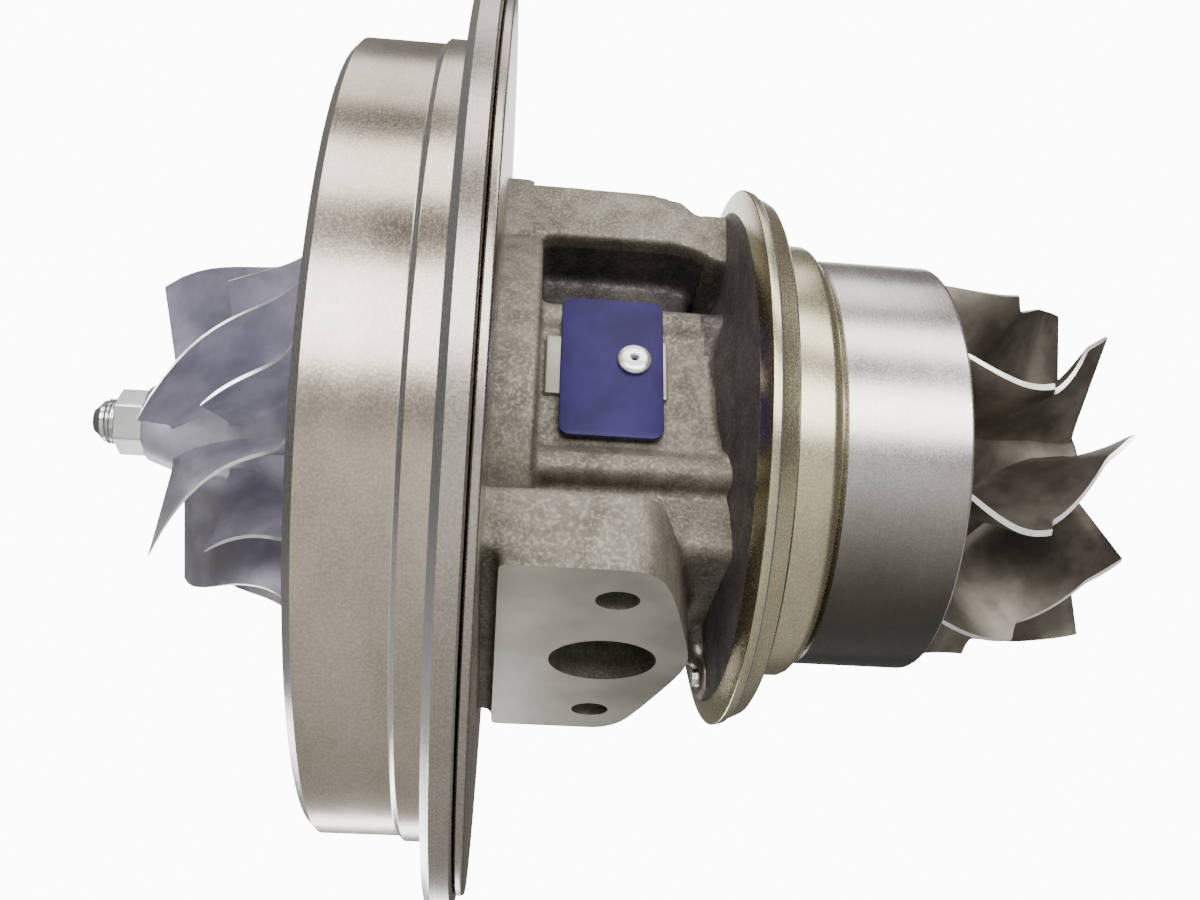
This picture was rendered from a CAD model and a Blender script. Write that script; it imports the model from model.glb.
# %% [markdown]
# A turbo cartridge is the middle of a turbocharger: a cast bearing housing, a turned drum that the
# compressor housing slides over, and one shaft with a bladed wheel on each end. The solids of the
# frame give the pieces their place and size. This script dresses them: it turns the round pieces
# again with fine edges, gives the casting soft corners and grain, and bends the blades smoothly.

import math

import bmesh
import bpy
from mathutils import Matrix, Vector


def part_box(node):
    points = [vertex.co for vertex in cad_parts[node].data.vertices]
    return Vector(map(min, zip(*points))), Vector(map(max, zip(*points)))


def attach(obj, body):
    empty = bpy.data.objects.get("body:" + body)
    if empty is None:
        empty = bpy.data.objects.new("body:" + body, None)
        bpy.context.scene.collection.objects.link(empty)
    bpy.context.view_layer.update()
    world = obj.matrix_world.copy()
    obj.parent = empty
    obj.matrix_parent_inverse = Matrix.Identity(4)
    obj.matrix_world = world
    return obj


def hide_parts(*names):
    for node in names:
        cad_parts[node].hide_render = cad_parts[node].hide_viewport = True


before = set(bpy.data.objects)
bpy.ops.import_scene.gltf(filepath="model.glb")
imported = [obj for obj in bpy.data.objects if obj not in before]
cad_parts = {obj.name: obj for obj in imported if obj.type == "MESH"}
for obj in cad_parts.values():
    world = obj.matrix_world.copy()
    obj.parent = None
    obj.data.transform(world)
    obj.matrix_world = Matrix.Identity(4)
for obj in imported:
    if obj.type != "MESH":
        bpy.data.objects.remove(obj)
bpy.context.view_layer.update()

# %% [markdown]
# The camera stands where the photographer stood: about 28 cm from the shaft, 30 degrees below the
# level of the part, so that the machined oil drain pad shows. It is rolled a little, because the
# shaft slopes down to the right. With a lens this near, the flange is cut by the frame.

# %% Camera
LOOK_BELOW = math.radians(30.3)
LOOK_YAW = math.radians(4.06)
LOOK_ROLL = math.radians(3.394)
LOOK_DISTANCE = 0.2811
LOOK_POINT = Vector((0.0316, 0.0, 0.0))

shaft_way = Vector((1, 0, 0))
to_camera = Vector((0, -math.cos(LOOK_BELOW), -math.sin(LOOK_BELOW)))
image_down = Vector((0, math.sin(LOOK_BELOW), -math.cos(LOOK_BELOW)))
level_right = math.cos(LOOK_YAW) * shaft_way + math.sin(LOOK_YAW) * to_camera
forward = math.sin(LOOK_YAW) * shaft_way - math.cos(LOOK_YAW) * to_camera
right = math.cos(LOOK_ROLL) * level_right - math.sin(LOOK_ROLL) * image_down
down = math.sin(LOOK_ROLL) * level_right + math.cos(LOOK_ROLL) * image_down

camera_data = bpy.data.cameras.new("camera")
camera_data.sensor_width = 36.0
camera_data.lens = 37.0
camera_data.clip_start = 0.01
camera = bpy.data.objects.new("camera", camera_data)
bpy.context.scene.collection.objects.link(camera)
turn = Matrix((right, -down, -forward)).transposed().to_4x4()
camera.matrix_world = Matrix.Translation(LOOK_POINT - LOOK_DISTANCE * forward) @ turn
bpy.context.scene.camera = camera
print("camera at", [round(v, 4) for v in camera.location])

# %% [markdown]
# The studio is plain: a pale floor well below the part, a white surround, and a few soft lamps. The
# surround is white only where it is looked at. What the metal mirrors is dimmer and falls off
# towards the ground. Turned steel takes its tones from what stands round it, so the lamps are long
# strips beside the shaft: a bright one level with it, and others above, overhead and behind.

# %% Studio
FLOOR_Z = -0.34

world = bpy.data.worlds.new("studio")
bpy.context.scene.world = world
world.use_nodes = True
world_nodes = world.node_tree.nodes
world_links = world.node_tree.links
world_nodes.clear()
seen = world_nodes.new("ShaderNodeBackground")
seen.inputs["Color"].default_value = (1.0, 1.0, 1.0, 1.0)
seen.inputs["Strength"].default_value = 12.0
lit = world_nodes.new("ShaderNodeBackground")
lit.inputs["Strength"].default_value = 1.0
way = world_nodes.new("ShaderNodeTexCoord")
split = world_nodes.new("ShaderNodeSeparateXYZ")
tones = world_nodes.new("ShaderNodeValToRGB")
tones.color_ramp.elements[0].position = 0.0
tones.color_ramp.elements[0].color = (0.05, 0.046, 0.042, 1.0)
tones.color_ramp.elements[1].position = 1.0
tones.color_ramp.elements[1].color = (0.24, 0.23, 0.215, 1.0)
level = world_nodes.new("ShaderNodeMapRange")
level.inputs["From Min"].default_value = -1.0
path = world_nodes.new("ShaderNodeLightPath")
choose = world_nodes.new("ShaderNodeMixShader")
out = world_nodes.new("ShaderNodeOutputWorld")
world_links.new(way.outputs["Generated"], split.inputs[0])
world_links.new(split.outputs["Z"], level.inputs["Value"])
world_links.new(level.outputs["Result"], tones.inputs["Fac"])
world_links.new(tones.outputs["Color"], lit.inputs["Color"])
world_links.new(path.outputs["Is Camera Ray"], choose.inputs["Fac"])
world_links.new(lit.outputs[0], choose.inputs[1])
world_links.new(seen.outputs[0], choose.inputs[2])
world_links.new(choose.outputs[0], out.inputs["Surface"])


def add_lamp(name, elevation, distance, width, radiance, length=1.6, x=0.02):
    """A soft strip beside the shaft. Elevation 0 is in front of it, and 90 degrees is overhead."""
    data = bpy.data.lights.new(name, "AREA")
    data.shape = "RECTANGLE"
    data.size = length
    data.size_y = width
    data.energy = radiance * math.pi * length * width
    lamp = bpy.data.objects.new(name, data)
    bpy.context.scene.collection.objects.link(lamp)
    angle = math.radians(elevation)
    lamp.location = (x, -distance * math.cos(angle), distance * math.sin(angle))
    lamp.rotation_euler = (math.pi / 2 - angle, 0.0, 0.0)


add_lamp("window_strip", -0.5, 0.70, 0.32, 9.5)
add_lamp("upper_strip", 41.0, 0.80, 0.26, 6.5)
add_lamp("overhead_lamp", 78.0, 0.80, 0.36, 2.6, 0.8)
add_lamp("back_lamp", 140.0, 0.90, 0.50, 3.0, 1.0)
add_lamp("low_back_strip", 199.0, 0.80, 0.14, 9.0, 0.8, -0.38)

floor_mesh = bpy.data.meshes.new("floor")
floor_work = bmesh.new()
bmesh.ops.create_grid(floor_work, x_segments=1, y_segments=1, size=3.0)
bmesh.ops.translate(floor_work, vec=(0, 0, FLOOR_Z), verts=floor_work.verts)
floor_work.to_mesh(floor_mesh)
floor_work.free()
floor = bpy.data.objects.new("floor", floor_mesh)
bpy.context.scene.collection.objects.link(floor)

# %% [markdown]
# Materials are built from sums of patterns. Writing those sums as Python expressions is easier to
# read than a page of node calls, so one small class stands for a number that varies over a surface,
# and each operator on it adds one Math node. Another class holds the material and makes any node.

# %% Shader helpers
NOISE_ROUGHNESS = 0.55


class Signal:
    """A number or colour that varies over a surface."""

    def __init__(self, finish, socket):
        self.finish = finish
        self.socket = socket

    def math(self, operation, other):
        return self.finish.node("ShaderNodeMath", {"operation": operation}, {0: self, 1: other})

    def reflected(self, operation, other):
        return self.finish.node("ShaderNodeMath", {"operation": operation}, {0: other, 1: self})

    def __add__(self, other):
        return self.math("ADD", other)

    def __radd__(self, other):
        return self.math("ADD", other)

    def __sub__(self, other):
        return self.math("SUBTRACT", other)

    def __rsub__(self, other):
        return self.reflected("SUBTRACT", other)

    def __mul__(self, other):
        return self.math("MULTIPLY", other)

    def __truediv__(self, other):
        return self.math("DIVIDE", other)

    def step(self, low, high):
        """0 below low, 1 above high and a smooth rise between."""
        return self.finish.node("ShaderNodeMapRange", {"interpolation_type": "SMOOTHSTEP"},
                                {"Value": self, "From Min": low, "From Max": high})


class Finish:
    """One Principled material, with a method that makes any node in it."""

    def __init__(self, name, metallic, roughness):
        self.material = bpy.data.materials.new(name)
        self.material.use_nodes = True
        self.tree = self.material.node_tree
        self.shader = self.tree.nodes["Principled BSDF"]
        self.shader.inputs["Metallic"].default_value = metallic
        self.shader.inputs["Roughness"].default_value = roughness
        self.place = self.node("ShaderNodeTexCoord", output="Object")

    def node(self, kind, settings=None, values=None, output=0):
        made = self.tree.nodes.new(kind)
        for name, value in (settings or {}).items():
            if name == "stops":
                ramp = made.color_ramp
                while len(ramp.elements) < len(value):
                    ramp.elements.new(0.5)
                for element, (position, colour) in zip(ramp.elements, value):
                    element.position = position
                    element.color = (*colour, 1.0)
            else:
                setattr(made, name, value)
        for name, value in (values or {}).items():
            if isinstance(value, Signal):
                self.tree.links.new(value.socket, made.inputs[name])
            else:
                made.inputs[name].default_value = value
        return Signal(self, made.outputs[output])

    def scaled(self, factors):
        """The object's own coordinates, stretched along each axis."""
        return self.node("ShaderNodeMapping", {}, {"Vector": self.place, "Scale": factors})

    def noise(self, scale, detail=3.0, place=None):
        return self.node("ShaderNodeTexNoise", {},
                         {"Vector": place or self.place, "Scale": scale, "Detail": detail,
                          "Roughness": NOISE_ROUGHNESS})

    def along_and_out(self):
        """Distance along the shaft, and distance out from it."""
        along = self.node("ShaderNodeSeparateXYZ", {}, {0: self.place}, "X")
        flat = self.node("ShaderNodeVectorMath", {"operation": "MULTIPLY"},
                         {0: self.place, 1: (0.0, 1.0, 1.0)})
        out = self.node("ShaderNodeVectorMath", {"operation": "LENGTH"}, {0: flat}, "Value")
        return along, out

    def tool_marks(self, pitch):
        """Fine rings left by a lathe tool, on faces and on cylinders alike."""
        along, out = self.along_and_out()
        return self.node("ShaderNodeTexNoise", {"noise_dimensions": "1D"},
                         {"W": (along + out) / pitch, "Scale": 1.0, "Detail": 2.0})

    def colour(self, fraction, *stops):
        return self.node("ShaderNodeValToRGB", {"stops": stops}, {"Fac": fraction})

    def mix(self, fraction, first, second):
        values = {"Factor": fraction, 6: first, 7: second}
        return self.node("ShaderNodeMix", {"data_type": "RGBA"}, values, 2)

    def surface(self, **sockets):
        for name, value in sockets.items():
            socket = self.shader.inputs[name.replace("_", " ")]
            if isinstance(value, Signal):
                self.tree.links.new(value.socket, socket)
            else:
                socket.default_value = value

    def bump(self, height, distance, strength):
        raised = self.node("ShaderNodeBump", {}, {"Height": height, "Distance": distance,
                                                  "Strength": strength})
        self.tree.links.new(raised.socket, self.shader.inputs["Normal"])


MM = 0.001

# %% [markdown]
# Turned steel has rings from the lathe tool, a soft mirror and faint brown and grey stains left by
# oil. The rings are a noise that changes only along the shaft and outwards, so it is right on both
# the faces and the cylinders. A second, tiny noise gives the sparkle of the dry metal. The heat
# shield has soot on its underside.

# %% Turned steel
SPARKLE = 0.10
SOOT_COLOUR = (0.06, 0.055, 0.045, 1.0)


def turned_steel(name, light, dark, roughness, pitch=0.35 * MM, soot=False):
    steel = Finish(name, 1.0, roughness)
    marks = steel.tool_marks(pitch)
    stain = steel.noise(28.0, 4.0, steel.scaled((2.0, 1.0, 1.0)))
    grit = steel.noise(2200.0, 2.0)
    tone = stain.step(0.36, 0.66)
    specks = grit.step(0.40, 0.64)
    colour = steel.colour(tone * 0.40 + marks * 0.22 + specks * 0.38, (0.0, dark), (1.0, light))
    if soot:
        height = steel.node("ShaderNodeSeparateXYZ", {}, {0: steel.place}, "Z")
        under = (height * -1.0 + stain * 0.012).step(0.018, 0.052)
        colour = steel.mix(under, colour, SOOT_COLOUR)
    steel.surface(Base_Color=colour,
                  Roughness=roughness + (stain - 0.5) * 0.12 + (grit - 0.5) * SPARKLE)
    steel.bump(marks * 0.7 + grit * 0.3, 0.03 * MM, 0.5)
    return steel.material


drum_steel = turned_steel("drum_steel", (0.54, 0.48, 0.40), (0.32, 0.27, 0.21), 0.22)
flange_steel = turned_steel("flange_steel", (0.44, 0.40, 0.36), (0.26, 0.23, 0.19), 0.27)
rim_steel = turned_steel("rim_steel", (0.60, 0.55, 0.38), (0.34, 0.30, 0.19), 0.27)
shield_steel = turned_steel("shield_steel", (0.66, 0.63, 0.60), (0.42, 0.39, 0.36), 0.26,
                            0.8 * MM, soot=True)
ground_steel = turned_steel("ground_steel", (0.80, 0.80, 0.80), (0.60, 0.60, 0.60), 0.22, 0.2 * MM)
bush_bronze = turned_steel("bush_bronze", (0.66, 0.45, 0.20), (0.45, 0.30, 0.14), 0.30, 0.3 * MM)

# %% [markdown]
# The casting was poured in sand. Its skin is a field of small round grains with larger dents under
# them, coloured olive and brown, and the tops of the grains catch the light where they are worn.

# %% Sand-cast iron
def cast_iron(name, light, dark, grain=0.16 * MM):
    iron = Finish(name, 0.75, 0.6)
    grains = iron.noise(1500.0, 3.0)
    lumps = iron.noise(260.0, 3.0)
    patches = iron.noise(46.0, 3.0)
    tops = grains.step(0.42, 0.72)
    tone = patches.step(0.3, 0.7) * 0.32 + lumps.step(0.3, 0.7) * 0.30 + tops * 0.38
    colour = iron.colour(tone, (0.0, dark), (1.0, light))
    iron.surface(Base_Color=colour, Roughness=0.66 - tops * 0.18)
    iron.bump(grains * 0.55 + lumps * 0.45, grain, 0.8)
    return iron.material


housing_iron = cast_iron("housing_iron", (0.29, 0.265, 0.215), (0.085, 0.077, 0.060))
dark_iron = cast_iron("dark_iron", (0.16, 0.14, 0.13), (0.035, 0.032, 0.030), 0.06 * MM)

# %% [markdown]
# The drain pad was milled flat, so its marks are straight and fine.

# %% Milled pad
def milled_steel(name):
    pad = Finish(name, 0.9, 0.42)
    lines = pad.noise(14.0, 2.0, pad.scaled((260.0, 6.0, 6.0)))
    stain = pad.noise(38.0, 4.0)
    colour = pad.colour(stain.step(0.3, 0.7), (0.0, (0.26, 0.24, 0.20)), (1.0, (0.42, 0.40, 0.34)))
    pad.surface(Base_Color=colour, Roughness=0.40 + (stain - 0.5) * 0.16)
    pad.bump(lines, 0.02 * MM, 0.4)
    return pad.material


pad_steel = milled_steel("pad_steel")

# %% [markdown]
# The compressor wheel is cast aluminium with milled tips. The turbine wheel is cast from a nickel
# alloy and has a brown-grey skin from the mould. Both have a thin bright line where the outer edge
# of each blade was ground to size, which gets its own material.

# %% Wheel metals
def wheel_metal(name, light, dark, roughness, scale, depth):
    metal = Finish(name, 0.9, roughness)
    clouds = metal.noise(scale * 0.12, 3.0)
    skin = metal.noise(scale, 2.0)
    colour = metal.colour(clouds.step(0.32, 0.68) * 0.7 + skin * 0.3, (0.0, dark), (1.0, light))
    metal.surface(Base_Color=colour, Roughness=roughness + (clouds - 0.5) * 0.14)
    metal.bump(skin, depth, 0.6)
    return metal.material


blade_aluminium = wheel_metal("blade_aluminium", (0.60, 0.59, 0.66), (0.38, 0.37, 0.43), 0.42,
                              900.0, 0.02 * MM)
blade_alloy = wheel_metal("blade_alloy", (0.20, 0.18, 0.15), (0.070, 0.060, 0.048), 0.50,
                          700.0, 0.05 * MM)
ground_edge = wheel_metal("ground_edge", (0.92, 0.91, 0.88), (0.72, 0.70, 0.66), 0.30,
                          1500.0, 0.01 * MM)


# %% [markdown]
# The nameplate is thin aluminium, anodised blue-violet. It is left without any lettering.

# %% Nameplate colour and rubber
def painted_plate(name):
    paint = Finish(name, 0.25, 0.42)
    paint.shader.inputs["Specular IOR Level"].default_value = 0.25
    clouds = paint.noise(90.0, 3.0)
    grain = paint.noise(1800.0, 2.0)
    colour = paint.colour(clouds.step(0.3, 0.7) * 0.7 + grain * 0.3,
                          (0.0, (0.009, 0.005, 0.042)), (1.0, (0.021, 0.012, 0.092)))
    paint.surface(Base_Color=colour, Roughness=0.40 + grain * 0.12)
    paint.bump(grain, 0.01 * MM, 0.5)
    return paint.material


plate_violet = painted_plate("plate_violet")
seal_rubber = Finish("seal_rubber", 0.0, 0.62)
seal_grain = seal_rubber.noise(700.0)
seal_rubber.surface(Base_Color=seal_rubber.colour(seal_grain, (0.0, (0.012, 0.012, 0.012)),
                                                  (1.0, (0.035, 0.034, 0.033))))
print("materials:", len(bpy.data.materials))

# %% [markdown]
# Most of a turbo cartridge is turned, so its pieces are made as a lathe makes them: an outline is
# spun round the shaft's axis. Each corner of an outline can have a fillet or a chamfer, because
# light finds the edges of machined metal first. A corner is written (x, radius, size), and a
# negative size is a chamfer.

# %% Turning helpers
FILLET_STEPS = 4


def soften(corners, closed):
    """Replace each sized corner by an arc, or by a straight chamfer where the size is negative."""
    points = []
    for index, corner in enumerate(corners):
        at = Vector(corner[:2])
        size = corner[2] if len(corner) > 2 else 0.0
        ends = index in (0, len(corners) - 1) and not closed
        if size == 0.0 or ends:
            points.append(at)
            continue
        before = Vector(corners[index - 1][:2]) - at
        after = Vector(corners[(index + 1) % len(corners)][:2]) - at
        reach = min(abs(size), before.length * 0.49, after.length * 0.49)
        start, stop = at + before.normalized() * reach, at + after.normalized() * reach
        steps = 1 if size < 0 else FILLET_STEPS
        for step in range(steps + 1):
            share = step / steps
            points.append((1 - share) ** 2 * start + 2 * share * (1 - share) * at
                          + share ** 2 * stop)
    return [(p[0], p[1]) for p in points]


def add_piece(name, work, materials, body, *nodes, smooth=30.0):
    """Make an object of a bmesh, shade it, ride it on a body and let it stand for its nodes."""
    bmesh.ops.remove_doubles(work, verts=work.verts, dist=1e-7)
    bmesh.ops.recalc_face_normals(work, faces=work.faces)
    mesh = bpy.data.meshes.new(name)
    work.to_mesh(mesh)
    work.free()
    for material in materials:
        mesh.materials.append(material)
    mesh.shade_smooth()
    mesh.set_sharp_from_angle(angle=math.radians(smooth))
    piece = bpy.data.objects.new(name, mesh)
    bpy.context.scene.collection.objects.link(piece)
    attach(piece, body)
    if nodes:
        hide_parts(*nodes)
    return piece


def spin_outline(corners, steps, closed=True):
    """A bmesh of corners spun a full turn about the shaft's axis."""
    work = bmesh.new()
    points = soften(corners, closed)
    ring = [work.verts.new((x, 0.0, r)) for x, r in points]
    edges = [work.edges.new(pair) for pair in zip(ring, ring[1:])]
    if closed:
        edges.append(work.edges.new((ring[-1], ring[0])))
    bmesh.ops.spin(work, geom=ring + edges, cent=(0, 0, 0), axis=(1, 0, 0), dvec=(0, 0, 0),
                   angle=math.tau, steps=steps, use_merge=True, use_duplicate=False)
    return work


def paint_faces(work, index, test):
    """Give a material to the faces whose centre passes a test of x and distance from the shaft."""
    for face in work.faces:
        middle = face.calc_center_median()
        if test(middle.x, math.hypot(middle.y, middle.z)):
            face.material_index = index


def node_span(name):
    low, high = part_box(name)
    return Vector(low), Vector(high)

# %% [markdown]
# The drum is the diffuser. Its left face has a shallow recess, where the compressor wheel sits.
# The outside has a small bright chamfer at the front, a step near the flange, and the flange
# itself, whose rim shows as a narrow dark band beside the face.

# %% Diffuser drum and flange
drum_low, drum_high = node_span("compressor_diffuser")
wheel_low, wheel_high = node_span("compressor_wheel")
DRUM_FACE_X = drum_low.x
FLANGE_BACK_X = drum_high.x
FLANGE_RADIUS = drum_high.z
DRUM_RADIUS = 85.3 * MM
STEP_RADIUS = 86.35 * MM
STEP_X = -6.5 * MM
RECESS_X = DRUM_FACE_X + 4.0 * MM
RECESS_RADIUS = wheel_high.z + 1.0 * MM
SPIGOT_RADIUS = 77.5 * MM
WEB_BACK_X = -7.3 * MM
BORE_RADIUS = 27.0 * MM
WEB_THICKNESS = 1.4 * MM
SEAT_DEPTH = 1.5 * MM
RIM_LINE_RADIUS = 97.0 * MM

drum = spin_outline([
    (RECESS_X, BORE_RADIUS, -0.4 * MM), (RECESS_X, RECESS_RADIUS, 0.5 * MM),
    (DRUM_FACE_X, RECESS_RADIUS, -0.4 * MM), (DRUM_FACE_X, DRUM_RADIUS, -1.6 * MM),
    (STEP_X, DRUM_RADIUS, 0.3 * MM), (STEP_X + 1.05 * MM, STEP_RADIUS, 0.15 * MM),
    (0.0, STEP_RADIUS, 0.4 * MM), (0.0, FLANGE_RADIUS, -1.5 * MM),
    (FLANGE_BACK_X, FLANGE_RADIUS, -0.35 * MM), (FLANGE_BACK_X, SPIGOT_RADIUS + 0.3 * MM),
    (WEB_BACK_X, SPIGOT_RADIUS + 0.3 * MM), (WEB_BACK_X, BORE_RADIUS - SEAT_DEPTH),
    (WEB_BACK_X - WEB_THICKNESS, BORE_RADIUS - SEAT_DEPTH),
    (WEB_BACK_X - WEB_THICKNESS, BORE_RADIUS)], 256)
paint_faces(drum, 1, lambda x, r: x > -0.2 * MM and r > STEP_RADIUS - 0.2 * MM)
paint_faces(drum, 2, lambda x, r: (DRUM_FACE_X + 0.1 * MM < x < DRUM_FACE_X + 1.5 * MM
                                   and r > DRUM_RADIUS - 2 * MM)
            or STEP_X < x < STEP_X + 1.0 * MM or (0.1 * MM < x < 1.4 * MM and r > RIM_LINE_RADIUS))
drum_piece = add_piece("diffuser_drum", drum, [drum_steel, flange_steel, ground_steel], "housing",
                       "compressor_diffuser")
print("drum faces:", len(drum_piece.data.polygons))


# %% [markdown]
# Six countersunk screws hold the diffuser to the bearing housing. Each hole is cut by a Boolean,
# and each screw is a small turned body with a hexagon socket.

# %% Screws in the diffuser
def cut(piece, tool):
    """Subtract a closed bmesh from a finished piece and keep the result."""
    mesh = bpy.data.meshes.new("cutter")
    bmesh.ops.recalc_face_normals(tool, faces=tool.faces)
    tool.to_mesh(mesh)
    tool.free()
    cutter = bpy.data.objects.new("cutter", mesh)
    bpy.context.scene.collection.objects.link(cutter)
    step = piece.modifiers.new("cut", "BOOLEAN")
    step.operation = "DIFFERENCE"
    step.object = cutter
    settle(piece)
    bpy.data.objects.remove(cutter)


def settle(piece):
    """Replace a piece's mesh by what its modifiers make of it."""
    graph = bpy.context.evaluated_depsgraph_get()
    made = bpy.data.meshes.new_from_object(piece.evaluated_get(graph), depsgraph=graph)
    piece.modifiers.clear()
    piece.data = made


def bar(work, start, end, radius, facets):
    """Add a round bar between two points to a bmesh."""
    first, last = Vector(start), Vector(end)
    along = last - first
    turn_way = along.to_track_quat("Z", "Y").to_matrix().to_4x4()
    place = Matrix.Translation((first + last) / 2) @ turn_way
    bmesh.ops.create_cone(work, cap_ends=True, segments=facets, radius1=radius, radius2=radius,
                          depth=along.length, matrix=place)
    return work


SCREW_HEAD_RADIUS = 7.8 * MM
SCREW_RADIUS = 4.0 * MM
SOCKET_RADIUS = 3.0 * MM
ALONG_SHAFT = Matrix.Rotation(math.radians(90), 4, "Y")

screw_spans = [node_span(f"diffuser_screw_{index}") for index in range(1, 7)]
countersinks = bmesh.new()
for low, high in screw_spans:
    y, z = (low.y + high.y) / 2, (low.z + high.z) / 2
    bmesh.ops.create_cone(countersinks, cap_ends=True, segments=48,
                          radius1=SCREW_HEAD_RADIUS + 0.5 * MM, radius2=SCREW_RADIUS + 0.3 * MM,
                          depth=4.2 * MM,
                          matrix=Matrix.Translation((DRUM_FACE_X + 2.0 * MM, y, z)) @ ALONG_SHAFT)
cut(drum_piece, countersinks)

for index, (low, high) in enumerate(screw_spans, 1):
    y, z = (low.y + high.y) / 2, (low.z + high.z) / 2
    face_x = low.x
    round_head = spin_outline([(face_x, 2.9 * MM), (face_x, SCREW_HEAD_RADIUS, 0.3 * MM),
                               (face_x + 4.0 * MM, SCREW_RADIUS),
                               (high.x, SCREW_RADIUS, -0.6 * MM), (high.x, 2.9 * MM)], 48)
    bmesh.ops.translate(round_head, vec=(0, y, z), verts=round_head.verts)
    socket_floor = bmesh.new()
    bmesh.ops.create_cone(socket_floor, cap_ends=True, segments=6, radius1=SOCKET_RADIUS,
                          radius2=SOCKET_RADIUS, depth=10 * MM,
                          matrix=Matrix.Translation((face_x + 7.6 * MM, y, z)) @ ALONG_SHAFT)
    socket_mesh = bpy.data.meshes.new("socket")
    socket_floor.to_mesh(socket_mesh)
    socket_floor.free()
    round_head.from_mesh(socket_mesh)
    add_piece(f"screw_{index}", round_head, [ground_steel], "housing", f"diffuser_screw_{index}")

# %% [markdown]
# Each blade starts as a flat grid. Its long way runs with the flow and its short way from the hub
# to the tip. The grid is extruded once to give it two sides, and then every corner is moved to its
# place on the wheel by a rule: two curves give the hub and the tip, and an angle that changes with
# the flow gives the twist. Extra thickness near the hub makes the root fillet.

# %% Blade helpers
def bezier(points, share):
    rest = 1.0 - share
    weights = (rest ** 3, 3 * rest ** 2 * share, 3 * rest * share ** 2, share ** 3)
    return tuple(sum(w * p[axis] for w, p in zip(weights, points)) for axis in (0, 1))


def add_blade(work, hub_line, tip_line, angle_at, root, tip, start=0.0, rows=26, fillet=1.3 * MM,
              nose=0.4):
    """Bend one grid into a blade. Its tip and both its ends get the second material."""
    flat = bmesh.new()
    bmesh.ops.create_grid(flat, x_segments=rows, y_segments=7, size=0.5)
    raised = bmesh.ops.extrude_face_region(flat, geom=list(flat.faces))["geom"]
    bmesh.ops.translate(flat, vec=(0, 0, 1),
                        verts=[g for g in raised if isinstance(g, bmesh.types.BMVert)])
    for face in flat.faces:
        rim = all(v.co.y > 0.49 for v in face.verts)
        front = all(v.co.x < -0.49 for v in face.verts)
        back = all(v.co.x > 0.49 for v in face.verts)
        face.material_index = 1 if rim or front or back else 0
    for vert in flat.verts:
        flow = vert.co.x + 0.5
        span = (vert.co.y + 0.5) ** 1.5
        share = start + (1.0 - start) * flow
        hub, outer = hub_line(share), tip_line(share)
        x = hub[0] + (outer[0] - hub[0]) * span
        radius = hub[1] + (outer[1] - hub[1]) * span
        near_end = min(flow, 1.0 - flow) / 0.06
        thin = min(1.0, nose + (1.0 - nose) * near_end)
        thick = (tip + (root - tip) * (1.0 - span)) * thin
        thick += 2 * fillet * max(0.0, 1.0 - span / 0.10) ** 2
        side = 1.0 if vert.co.z > 0.5 else -1.0
        angle = math.radians(angle_at(share, span)) + side * thick / 2 / radius
        vert.co = (x, -radius * math.cos(angle), radius * math.sin(angle))
    part = bpy.data.meshes.new("blade")
    flat.to_mesh(part)
    flat.free()
    work.from_mesh(part)


def ring_of_blades(work, count, **blade):
    """Add one blade, then turn copies of it round the shaft's axis."""
    before = set(work.verts)
    add_blade(work, **blade)
    first = [v for v in work.verts if v not in before]
    faces = {f for v in first for f in v.link_faces}
    for index in range(1, count):
        copied = bmesh.ops.duplicate(work, geom=list(faces))["geom"]
        bmesh.ops.rotate(work, cent=(0, 0, 0),
                         verts=[g for g in copied if isinstance(g, bmesh.types.BMVert)],
                         matrix=Matrix.Rotation(-index * math.tau / count, 3, "X"))


# %% [markdown]
# The compressor wheel draws air in at its nose and throws it outwards at the drum. Seven full
# blades and seven shorter splitters stand on a hub that flares like a trumpet.

# %% Compressor wheel
BLADE_START_X = -61.2 * MM
RIM_X = DRUM_FACE_X - 0.3 * MM
TIP_X = RIM_X - 5.0 * MM
INDUCER_RADIUS = 35.5 * MM
HUB_INLET_RADIUS = 10.8 * MM
EXDUCER_RADIUS = wheel_high.z


def comp_hub(share):
    return bezier(((BLADE_START_X, HUB_INLET_RADIUS), (BLADE_START_X + 19 * MM, 11.5 * MM),
                   (RIM_X - 0.8 * MM, 27.8 * MM), (RIM_X, EXDUCER_RADIUS)), share)


def comp_root(share):
    x, radius = comp_hub(share)
    return x + 0.5 * MM * share, radius - 0.5 * MM * (1.0 - share)


def comp_tip(share):
    return bezier(((BLADE_START_X, INDUCER_RADIUS), (BLADE_START_X + 19.2 * MM, INDUCER_RADIUS),
                   (TIP_X - 1.4 * MM, 37.0 * MM), (TIP_X, EXDUCER_RADIUS)), share)


def comp_angle(first):
    return lambda share, span: first + 43.0 * (1 - (1 - share) ** 5) + 12.0 * share ** 4


COMP_BLADES = 7
COMP_FIRST_BLADE = 22.1
SPLITTER_START = 0.23
NOSE_RADIUS = 8.2 * MM
WHEEL_BORE_RADIUS = 5.3 * MM
comp_outline = [(wheel_low.x, WHEEL_BORE_RADIUS), (wheel_low.x, NOSE_RADIUS, 0.3 * MM)]
comp_outline += [comp_hub(step / 40) for step in range(41)]
comp_outline += [(RIM_X + 2.4 * MM, EXDUCER_RADIUS, 0.3 * MM), (RIM_X + 2.4 * MM, 31.0 * MM),
                 (wheel_high.x, 16.9 * MM), (wheel_high.x, WHEEL_BORE_RADIUS)]
comp = spin_outline(comp_outline, 168)
for offset, start in ((0.0, 0.0), (-180.0 / COMP_BLADES, SPLITTER_START)):
    ring_of_blades(comp, COMP_BLADES, hub_line=comp_root, tip_line=comp_tip, start=start,
                   angle_at=comp_angle(COMP_FIRST_BLADE + offset), root=2.0 * MM, tip=0.8 * MM)
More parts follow.
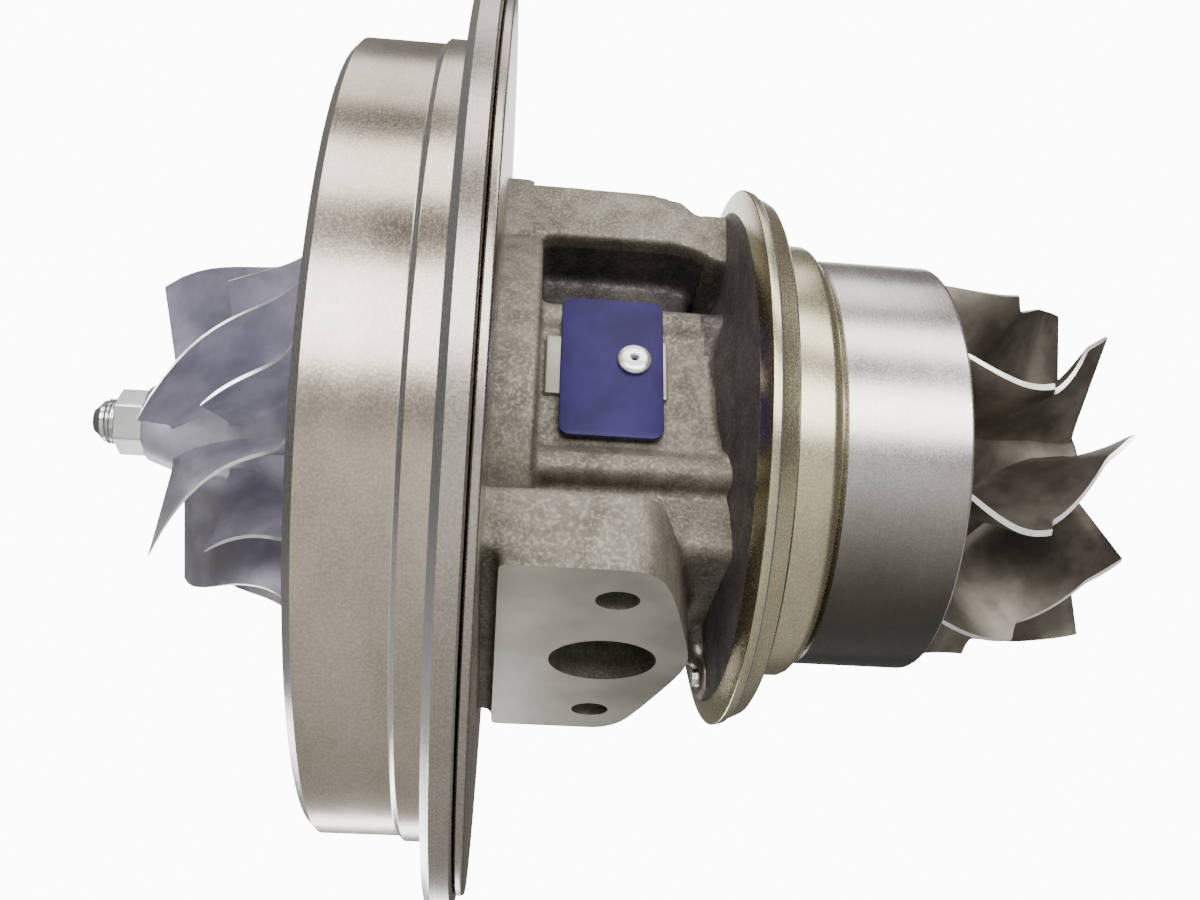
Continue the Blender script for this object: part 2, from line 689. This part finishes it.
comp_piece = add_piece("compressor_blades_and_hub", comp, [blade_aluminium, ground_edge], "rotor",
                       "compressor_wheel", smooth=50.0)
print("compressor wheel faces:", len(comp_piece.data.polygons))

# %% [markdown]
# The turbine wheel takes exhaust gas in round its wide end and lets it out at the small end. Its
# nine blades are thick at the hub. The outer edge runs level past the inlet, drops by a small
# rounded step, and then follows the housing's throat to the outlet.

# %% Turbine wheel
turb_high = node_span("turbine_wheel")[1]
shield_low, shield_high = node_span("heat_shield")
SHIELD_FLOOR_DEPTH = 3.6 * MM
TURB_BACK_X = shield_high.x - SHIELD_FLOOR_DEPTH + 0.8 * MM
TURB_DISC_X = TURB_BACK_X + 2.2 * MM
TURB_RADIUS = 43.0 * MM
TURB_INLET_END_X = 120.0 * MM
TURB_EXIT_X = 138.3 * MM
TURB_NOSE_RADIUS = 11.5 * MM
TURB_DISC_RADIUS = 42.6 * MM
THROAT_START_RADIUS = 39.2 * MM
THROAT_END_RADIUS = 37.9 * MM
TURB_STEP = 0.42
TURB_STEP_WIDTH = 0.05
TURB_FIRST_BLADE = 4.5


def turb_hub(share):
    return bezier(((TURB_DISC_X, TURB_DISC_RADIUS), (TURB_DISC_X + 1.6 * MM, 23.4 * MM),
                   (TURB_INLET_END_X - 3 * MM, TURB_NOSE_RADIUS + 1.5 * MM),
                   (turb_high.x, TURB_NOSE_RADIUS)), share)


def turb_root(share):
    x, radius = turb_hub(share)
    return min(x, TURB_EXIT_X) - 0.8 * MM * (1 - share), radius - 0.7 * MM


def turb_tip(share):
    """The blade's outer edge: level, a rounded step inwards, then the throat."""
    if share < TURB_STEP:
        return TURB_DISC_X + (TURB_INLET_END_X - TURB_DISC_X) * share / TURB_STEP, TURB_RADIUS
    along = (share - TURB_STEP) / (1 - TURB_STEP)
    x = TURB_INLET_END_X + (TURB_EXIT_X - TURB_INLET_END_X) * along
    fall = min(1.0, (share - TURB_STEP) / TURB_STEP_WIDTH)
    throat = THROAT_START_RADIUS + (THROAT_END_RADIUS - THROAT_START_RADIUS) * along
    return x, TURB_RADIUS + (throat - TURB_RADIUS) * (1 - (1 - fall) ** 2)


def turb_angle(share, span):
    dip = 11.0 * math.sin(math.pi * min(share / 0.8, 1.0))
    return TURB_FIRST_BLADE - dip + 33.0 * max(share - 0.25, 0.0) ** 1.8


TURB_BLADES = 9
turb_outline = [(86.3 * MM, 0.0), (86.3 * MM, 12.4 * MM, 0.3 * MM), (TURB_BACK_X, 13.0 * MM),
                (TURB_BACK_X, TURB_DISC_RADIUS, 0.3 * MM)]
turb_outline += [turb_hub(step / 30) for step in range(30)]
turb_outline += [(turb_high.x, TURB_NOSE_RADIUS, 1.0 * MM), (turb_high.x, 5.0 * MM, 0.5 * MM),
                 (turb_high.x - 1.2 * MM, 3.0 * MM), (turb_high.x - 1.2 * MM, 0.0)]
turb = spin_outline(turb_outline, 144, False)
ring_of_blades(turb, TURB_BLADES, hub_line=turb_root, tip_line=turb_tip, angle_at=turb_angle,
               root=3.2 * MM, tip=1.3 * MM, rows=48, fillet=1.6 * MM, nose=0.7)
turb_piece = add_piece("turbine_blades_and_hub", turb, [blade_alloy, ground_edge], "rotor",
                       "turbine_wheel", smooth=50.0)
print("turbine wheel faces:", len(turb_piece.data.polygons))

# %% [markdown]
# The bearing housing is one casting with soft corners. It is made as a foundry pattern is: plain
# blocks and bars are pushed into each other, one skin is drawn over them all by a voxel remesh, and
# the skin is smoothed until the corners between them are round. Only then are the flat pads milled
# and the holes drilled, so these stay crisp.

# %% The casting's soft skin
PLATE_BACK_X = 7.4 * MM
BELL_RADIUS = 46.5 * MM
BELL_END_X = 15.8 * MM
CORE_HALF_WIDTH = 27.0 * MM
CORE_TOP_Z = 20.0 * MM
CORE_BOTTOM_Z = -23.0 * MM
V_FACE_X = 56.5 * MM
INLET_TOP_Z = 51.0 * MM
INLET_LOW_Z = 37.0 * MM
INLET_HALF_WIDTH = 30.0 * MM
DRAIN_FACE_Z = -50.5 * MM
DRAIN_TOP_Z = -34.5 * MM
DRAIN_HALF_WIDTH = 45.0 * MM
DRAIN_X = 32.8 * MM
DRAIN_BORE_RADIUS = 11.2 * MM
DRAIN_THREAD_RADIUS = 4.2 * MM
DRAIN_THREAD_SIDE = 31.45 * MM
INLET_X = 29.0 * MM
INLET_BORE_RADIUS = 7.0 * MM
INLET_THREAD_RADIUS = 3.3 * MM
INLET_THREAD_SIDE = 20.0 * MM
LUG_RADIUS = 5.4 * MM
LUG_PAINT_RADIUS = 7.5
STOCK = 1.5 * MM
SKIN_GRID = 0.85 * MM
SKIN_PASSES = 9


def block(work, low, high, rounding=0.0):
    """Add a box to a bmesh, with its edges rounded if asked."""
    made = bmesh.ops.create_cube(work, size=1.0)["verts"]
    size, centre = Vector(high) - Vector(low), (Vector(high) + Vector(low)) / 2
    bmesh.ops.scale(work, vec=size, verts=made)
    bmesh.ops.translate(work, vec=centre, verts=made)
    if rounding:
        edges = list({edge for vert in made for edge in vert.link_edges})
        bmesh.ops.bevel(work, geom=edges, offset=rounding, segments=3, profile=0.5,
                        affect="EDGES", material=-1)


def prism(work, outline, low, high, turn_matrix=None):
    """Add an outline of (x, y) points, extruded between two heights, to a bmesh."""
    part = bmesh.new()
    face = part.faces.new([part.verts.new((x, y, low)) for x, y in outline])
    raised = bmesh.ops.extrude_face_region(part, geom=[face])["geom"]
    bmesh.ops.translate(part, vec=(0, 0, high - low),
                        verts=[g for g in raised if isinstance(g, bmesh.types.BMVert)])
    if turn_matrix:
        bmesh.ops.transform(part, matrix=turn_matrix, verts=part.verts)
    bmesh.ops.recalc_face_normals(part, faces=part.faces)
    mesh = bpy.data.meshes.new("prism")
    part.to_mesh(mesh)
    part.free()
    work.from_mesh(mesh)


def bulged_end():
    """The right-hand end of the drain pad, from the near corner to the far one."""
    half = [(35.0, 45.0), (37.6, 43.9), (39.6, 41.8), (41.0, 39.6), (42.2, 36.4), (44.4, 29.0),
            (46.7, 20.0), (48.9, 11.0), (50.1, 5.0)]
    near = [(x * MM, -y * MM) for x, y in half]
    return near + [(50.5 * MM, 0.0)] + [(x, -y) for x, y in reversed(near)]


pattern = bmesh.new()
bar(pattern, (PLATE_BACK_X - 2 * MM, 0, 0), (BELL_END_X, 0, 0), BELL_RADIUS, 96)
block(pattern, (10 * MM, -CORE_HALF_WIDTH, CORE_BOTTOM_Z),
      (V_FACE_X + 6 * MM, CORE_HALF_WIDTH, CORE_TOP_Z), 4.5 * MM)
for ridge_z, ridge_y in ((CORE_TOP_Z - 3.2 * MM, 25.6 * MM), (CORE_BOTTOM_Z + 3.6 * MM, 25.8 * MM)):
    for side in (-1, 1):
        bar(pattern, (BELL_END_X - 2 * MM, side * ridge_y, ridge_z),
            (V_FACE_X + 3 * MM, side * ridge_y, ridge_z), 3.6 * MM, 24)
block(pattern, (5 * MM, -14 * MM, 12 * MM), (50.5 * MM, 14 * MM, 40 * MM), 2 * MM)
inlet_side = [(PLATE_BACK_X - 2 * MM, INLET_LOW_Z), (45 * MM, INLET_LOW_Z),
              (50 * MM, 35.6 * MM), (54 * MM, 33.0 * MM), (V_FACE_X + 4 * MM, 32.0 * MM),
              (V_FACE_X + 4 * MM, 46 * MM), (50 * MM, 46 * MM), (47 * MM, 49.4 * MM),
              (41 * MM, INLET_TOP_Z), (12.8 * MM, INLET_TOP_Z + STOCK),
              (12.2 * MM, INLET_TOP_Z + 2.4 * MM), (PLATE_BACK_X - 2 * MM, INLET_TOP_Z + 2.4 * MM)]
prism(pattern, inlet_side, -INLET_HALF_WIDTH, INLET_HALF_WIDTH,
      Matrix.Rotation(math.radians(90), 4, "X"))
block(pattern, (8 * MM, -24 * MM, DRAIN_TOP_Z - 2 * MM), (V_FACE_X + 4 * MM, 24 * MM, -16 * MM),
      3 * MM)
drain_outline = [(10.4 * MM, DRAIN_HALF_WIDTH), (10.4 * MM, -DRAIN_HALF_WIDTH)] + bulged_end()
prism(pattern, drain_outline, DRAIN_FACE_Z - STOCK, DRAIN_TOP_Z)
block(pattern, (5 * MM, -44.7 * MM, -47.5 * MM), (13 * MM, 44.7 * MM, DRAIN_TOP_Z))
neck = spin_outline([(46 * MM, 0.0), (46 * MM, 14 * MM), (52.8 * MM, 27.8 * MM),
                     (55.6 * MM, 34.0 * MM), (V_FACE_X + 3 * MM, 34.0 * MM),
                     (V_FACE_X + 3 * MM, 0.0)], 64, False)
neck_mesh = bpy.data.meshes.new("neck")
bmesh.ops.recalc_face_normals(neck, faces=neck.faces)
neck.to_mesh(neck_mesh)
neck.free()
pattern.from_mesh(neck_mesh)
dowel_low, dowel_high = node_span("locating_dowel")
lug_y, lug_z = (dowel_low.y + dowel_high.y) / 2, (dowel_low.z + dowel_high.z) / 2
bar(pattern, (V_FACE_X - 1 * MM, lug_y, lug_z), (60 * MM, lug_y, lug_z), LUG_RADIUS, 32)
bar(pattern, (V_FACE_X - 2.0 * MM, lug_y * 0.7, -28 * MM),
    (V_FACE_X - 0.6 * MM, lug_y, lug_z + 3 * MM), 3.2 * MM, 24)

casting = add_piece("housing_casting", pattern, [housing_iron, pad_steel, dark_iron], "housing",
                    "bearing_housing", smooth=40.0)
skin = casting.modifiers.new("skin", "REMESH")
skin.mode = "VOXEL"
skin.voxel_size = SKIN_GRID
settle(casting)
soften_skin = casting.modifiers.new("soften", "SMOOTH")
soften_skin.factor = 0.5
soften_skin.iterations = SKIN_PASSES
settle(casting)
print("casting faces:", len(casting.data.polygons))

# %% [markdown]
# Milling a pad is one straight cut: everything past the pad's plane goes, and the cut is closed
# with one flat face. The same call trims the skin where it meets the turned plate and flange. The
# recess under the inlet and the throat at the flange get the dark iron, and the lug the pad's steel.

# %% Milled pads and drilled holes
milled = bmesh.new()
milled.from_mesh(casting.data)


def mill(work, point, outward, material):
    """Cut away what lies past a plane and close the cut with a face of another material."""
    geometry = list(work.verts) + list(work.edges) + list(work.faces)
    cut_edges = bmesh.ops.bisect_plane(work, geom=geometry, plane_co=point, plane_no=outward,
                                       clear_outer=True, dist=1e-7)["geom_cut"]
    rim = [edge for edge in cut_edges if isinstance(edge, bmesh.types.BMEdge)]
    closed = bmesh.ops.holes_fill(work, edges=rim, sides=0)["faces"]
    for face in closed:
        face.material_index = material


mill(milled, (0, 0, DRAIN_FACE_Z), (0, 0, -1), 1)
mill(milled, (PLATE_BACK_X - 1 * MM, 0, 0), (-1, 0, 0), 0)
mill(milled, (V_FACE_X + 0.6 * MM, 0, 0), (1, 0, 0), 0)
for face in milled.faces:
    x, y, z = face.calc_center_median() / MM
    under_inlet = x < 52 and abs(y) < 26 and 20.2 < z < 37.5
    throat = x > 53 - 0.14 * z and -15 < z < 20.5
    if face.material_index == 0 and (under_inlet or throat):
        face.material_index = 2
    if 54.0 < x < 57.5 and math.hypot(y - lug_y / MM, z - lug_z / MM) < LUG_PAINT_RADIUS:
        face.material_index = 1
milled.to_mesh(casting.data)
milled.free()

inlet_tool = bmesh.new()
block(inlet_tool, (13.2 * MM, -40 * MM, INLET_TOP_Z), (39 * MM, 40 * MM, 60 * MM))
cut(casting, inlet_tool)
holes = bmesh.new()
bar(holes, (DRAIN_X, 0, -60 * MM), (DRAIN_X, 0, -19 * MM), DRAIN_BORE_RADIUS, 96)
for side in (-1, 1):
    y = side * DRAIN_THREAD_SIDE
    bar(holes, (DRAIN_X, y, -60 * MM), (DRAIN_X, y, DRAIN_FACE_Z + 14 * MM),
        DRAIN_THREAD_RADIUS, 48)
    y = side * INLET_THREAD_SIDE
    bar(holes, (INLET_X, y, 60 * MM), (INLET_X, y, INLET_TOP_Z - 12 * MM),
        INLET_THREAD_RADIUS, 48)
bar(holes, (INLET_X, 0, 60 * MM), (INLET_X, 0, 23 * MM), INLET_BORE_RADIUS, 64)
cut(casting, holes)
casting.data.shade_smooth()
casting.data.set_sharp_from_angle(angle=math.radians(38))
print("milled casting faces:", len(casting.data.polygons))

# %% [markdown]
# The plate behind the drum and the flange at the turbine end were turned from the same casting, so
# they are spun outlines that meet the skin inside it.

# %% Turned ends of the housing
PLATE_RADIUS = 96.4 * MM
back_plate = spin_outline([
    (-7.0 * MM, 30.0 * MM), (-7.0 * MM, SPIGOT_RADIUS, 0.5 * MM),
    (FLANGE_BACK_X + 0.3 * MM, SPIGOT_RADIUS), (FLANGE_BACK_X + 0.3 * MM, PLATE_RADIUS, -0.3 * MM),
    (PLATE_BACK_X, PLATE_RADIUS, 0.7 * MM), (PLATE_BACK_X, BELL_RADIUS - 3 * MM),
    (PLATE_BACK_X, 31.0 * MM)], 256)
add_piece("housing_back_plate", back_plate, [flange_steel], "housing", "bearing_housing")

v_flange = spin_outline([
    (52.9 * MM, 27.0 * MM), (53.1 * MM, 28.6 * MM, 0.5 * MM), (56.1 * MM, 35.7 * MM, 1.5 * MM),
    (57.0 * MM, 55.3 * MM, -0.25 * MM), (58.5 * MM, 60.2 * MM, 0.4 * MM),
    (60.2 * MM, 59.75 * MM, 0.15 * MM), (60.6 * MM, 59.2 * MM, 0.15 * MM),
    (64.4 * MM, 57.4 * MM, -0.6 * MM), (64.5 * MM, 48.9 * MM, 0.6 * MM),
    (73.3 * MM, 48.7 * MM, -0.6 * MM), (75.5 * MM, 46.2 * MM, 0.4 * MM),
    (75.6 * MM, 44.0 * MM), (84.0 * MM, 44.0 * MM, -0.6 * MM), (84.0 * MM, 27.0 * MM, 1.0 * MM),
    (96.0 * MM, 23.0 * MM, -0.6 * MM), (96.0 * MM, 12.9 * MM), (87.2 * MM, 12.9 * MM),
    (87.2 * MM, 18.0 * MM), (73.5 * MM, 18.0 * MM)], 224)
paint_faces(v_flange, 1, lambda x, r: x < 57.0 * MM)
paint_faces(v_flange, 2, lambda x, r: 60.1 * MM < x < 60.7 * MM and r > 59 * MM)
add_piece("turbine_flange", v_flange, [rim_steel, dark_iron, ground_steel], "housing",
          "bearing_housing")

# %% [markdown]
# The heat shield is a pressed cup. Its rounded corner and bright lip stand round the turbine wheel.

# %% Heat shield
SHIELD_RADIUS = shield_high.z
SHIELD_START_X = shield_low.x
SHIELD_END_X = shield_high.x
shield = spin_outline([
    (SHIELD_START_X, 44.3 * MM), (SHIELD_START_X, SHIELD_RADIUS, -0.7 * MM),
    (SHIELD_END_X, SHIELD_RADIUS, 3.0 * MM), (SHIELD_END_X, 43.8 * MM, 0.25 * MM),
    (SHIELD_END_X - SHIELD_FLOOR_DEPTH, 43.8 * MM, 0.8 * MM),
    (SHIELD_END_X - SHIELD_FLOOR_DEPTH, 14.5 * MM),
    (SHIELD_END_X - 5.1 * MM, 14.5 * MM), (SHIELD_END_X - 5.1 * MM, 43.0 * MM),
    (SHIELD_END_X - 6.1 * MM, 44.3 * MM)], 224)
paint_faces(shield, 1, lambda x, r: x > SHIELD_END_X - 0.6 * MM)
add_piece("heat_shield_cup", shield, [shield_steel, ground_steel], "housing", "heat_shield")

# %% [markdown]
# The nameplate stands a little off the casting on a low pad, so a dark line shows under it. One
# drive screw with a dimple in its head holds it.

# %% Nameplate and drive screw
plate_low, plate_high = node_span("nameplate")
plate = bmesh.new()
bmesh.ops.create_cube(plate, size=1.0)
plate_size = plate_high - plate_low
bmesh.ops.scale(plate, vec=plate_size, verts=plate.verts)
bmesh.ops.translate(plate, vec=(plate_low + plate_high) / 2, verts=plate.verts)
upright = [e for e in plate.edges if abs(e.verts[0].co.y - e.verts[1].co.y) > plate_size.y * 0.9]
bmesh.ops.bevel(plate, geom=upright, offset=2.4 * MM, segments=8, profile=0.5, affect="EDGES",
                material=-1)
rims = [e for e in plate.edges if abs(e.verts[0].co.y - e.verts[1].co.y) < 1e-6]
bmesh.ops.bevel(plate, geom=rims, offset=0.22 * MM, segments=2, profile=0.5, affect="EDGES",
                material=-1)
add_piece("nameplate_violet", plate, [plate_violet], "housing", "nameplate")

pedestal = bmesh.new()
block(pedestal, (plate_low.x - 3.1 * MM, plate_high.y + 0.3 * MM, -3.5 * MM),
      (plate_high.x + 1.0 * MM, 1 * MM - CORE_HALF_WIDTH, 11.0 * MM), 0.35 * MM)
add_piece("nameplate_pedestal", pedestal, [pad_steel], "housing", "bearing_housing")

rivet_low, rivet_high = node_span("nameplate_drive_screw")
rivet = spin_outline([(-1.3 * MM, 0.0), (-1.3 * MM, 0.55 * MM), (0.35 * MM, 0.75 * MM, 0.1 * MM),
                      (0.60 * MM, 1.1 * MM, 0.15 * MM), (0.45 * MM, 2.6 * MM, 0.6 * MM),
                      (-0.15 * MM, 3.55 * MM, 0.25 * MM), (-0.55 * MM, 3.55 * MM),
                      (-1.6 * MM, 2.0 * MM), (-1.6 * MM, 0.0)], 48, False)
bmesh.ops.transform(rivet, verts=rivet.verts, matrix=Matrix.Translation(
    ((rivet_low.x + rivet_high.x) / 2, rivet_low.y + 0.35 * MM, (rivet_low.z + rivet_high.z) / 2))
    @ Matrix.Rotation(math.radians(-90), 4, "Z"))
add_piece("drive_screw_head", rivet, [ground_edge], "housing", "nameplate_drive_screw")

# %% [markdown]
# The shaft's end carries a fine thread, and the nut on it has chamfered corners.

# %% Nut and threaded end
nut_low, nut_high = node_span("shaft_nut")
NUT_RADIUS = 7.4 * MM
nut = bmesh.new()
bmesh.ops.create_cone(nut, cap_ends=True, segments=6, radius1=NUT_RADIUS, radius2=NUT_RADIUS,
                      depth=nut_high.x - nut_low.x,
                      matrix=Matrix.Translation(((nut_low.x + nut_high.x) / 2, 0, 0))
                      @ ALONG_SHAFT)
nut_piece = add_piece("rotor_nut", nut, [ground_steel], "rotor", "shaft_nut")
thread_bore = bar(bmesh.new(), (nut_low.x - 1 * MM, 0, 0), (nut_high.x + 1 * MM, 0, 0),
                  WHEEL_BORE_RADIUS, 64)
cut(nut_piece, thread_bore)
corner_round = nut_piece.modifiers.new("corners", "BEVEL")
corner_round.width = 0.35 * MM
corner_round.segments = 2
corner_round.limit_method = "ANGLE"

shaft_low = node_span("turbine_shaft")[0]
THREAD_RADIUS = 5.0 * MM
THREAD_ROOT_RADIUS = 4.6 * MM
THREAD_PITCH = 0.75 * MM
THREAD_START_X = -69.0 * MM
THREAD_END_X = -78.2 * MM
thread = [(-68.0 * MM, 0.0), (-68.0 * MM, THREAD_RADIUS)]
turns = int((THREAD_START_X - THREAD_END_X) / THREAD_PITCH)
for index in range(turns):
    x = THREAD_START_X - index * THREAD_PITCH
    thread += [(x, THREAD_RADIUS), (x - THREAD_PITCH * 0.45, THREAD_ROOT_RADIUS)]
thread += [(-78.4 * MM, 4.5 * MM), (-79.6 * MM, 3.2 * MM, 0.3 * MM),
           (shaft_low.x, 2.6 * MM, 0.3 * MM), (shaft_low.x, 0.9 * MM),
           (shaft_low.x + 0.8 * MM, 0.0)]
threaded_end = spin_outline(thread, 64, False)
add_piece("threaded_end", threaded_end, [ground_steel], "rotor")

# %% [markdown]
# The pieces inside, and the dowel, keep their solids from the frame and get a finish of their own.

# %% Finish of the inner pieces
INNER_FINISH = {
    "oil_seal_plate": drum_steel, "oil_seal_plate_retaining_ring": ground_steel,
    "oil_seal_plate_o_ring": seal_rubber.material, "diffuser_o_ring": seal_rubber.material,
    "thrust_bearing": bush_bronze, "oil_deflector": shield_steel,
    "compressor_piston_ring": rim_steel, "turbine_piston_ring": rim_steel,
    "locating_dowel": ground_steel, "turbine_shaft": ground_steel,
    "thrust_collar": ground_steel, "oil_slinger": ground_steel,
    "journal_bush_compressor_end": bush_bronze, "journal_bush_turbine_end": bush_bronze}
INNER_FINISH.update({f"bush_circlip_{index}": rim_steel for index in range(1, 5)})
for name, finish in INNER_FINISH.items():
    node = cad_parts[name]
    node.data.materials.clear()
    node.data.materials.append(finish)
print("inner pieces finished:", len(INNER_FINISH))

# %% Floor finish
floor_paper = Finish("floor_paper", 0.0, 0.9)
paper_grain = floor_paper.noise(60.0)
floor_paper.surface(Base_Color=floor_paper.colour(paper_grain, (0.0, (0.44, 0.44, 0.43)),
                                                  (1.0, (0.50, 0.50, 0.49))))
floor.data.materials.append(floor_paper.material)
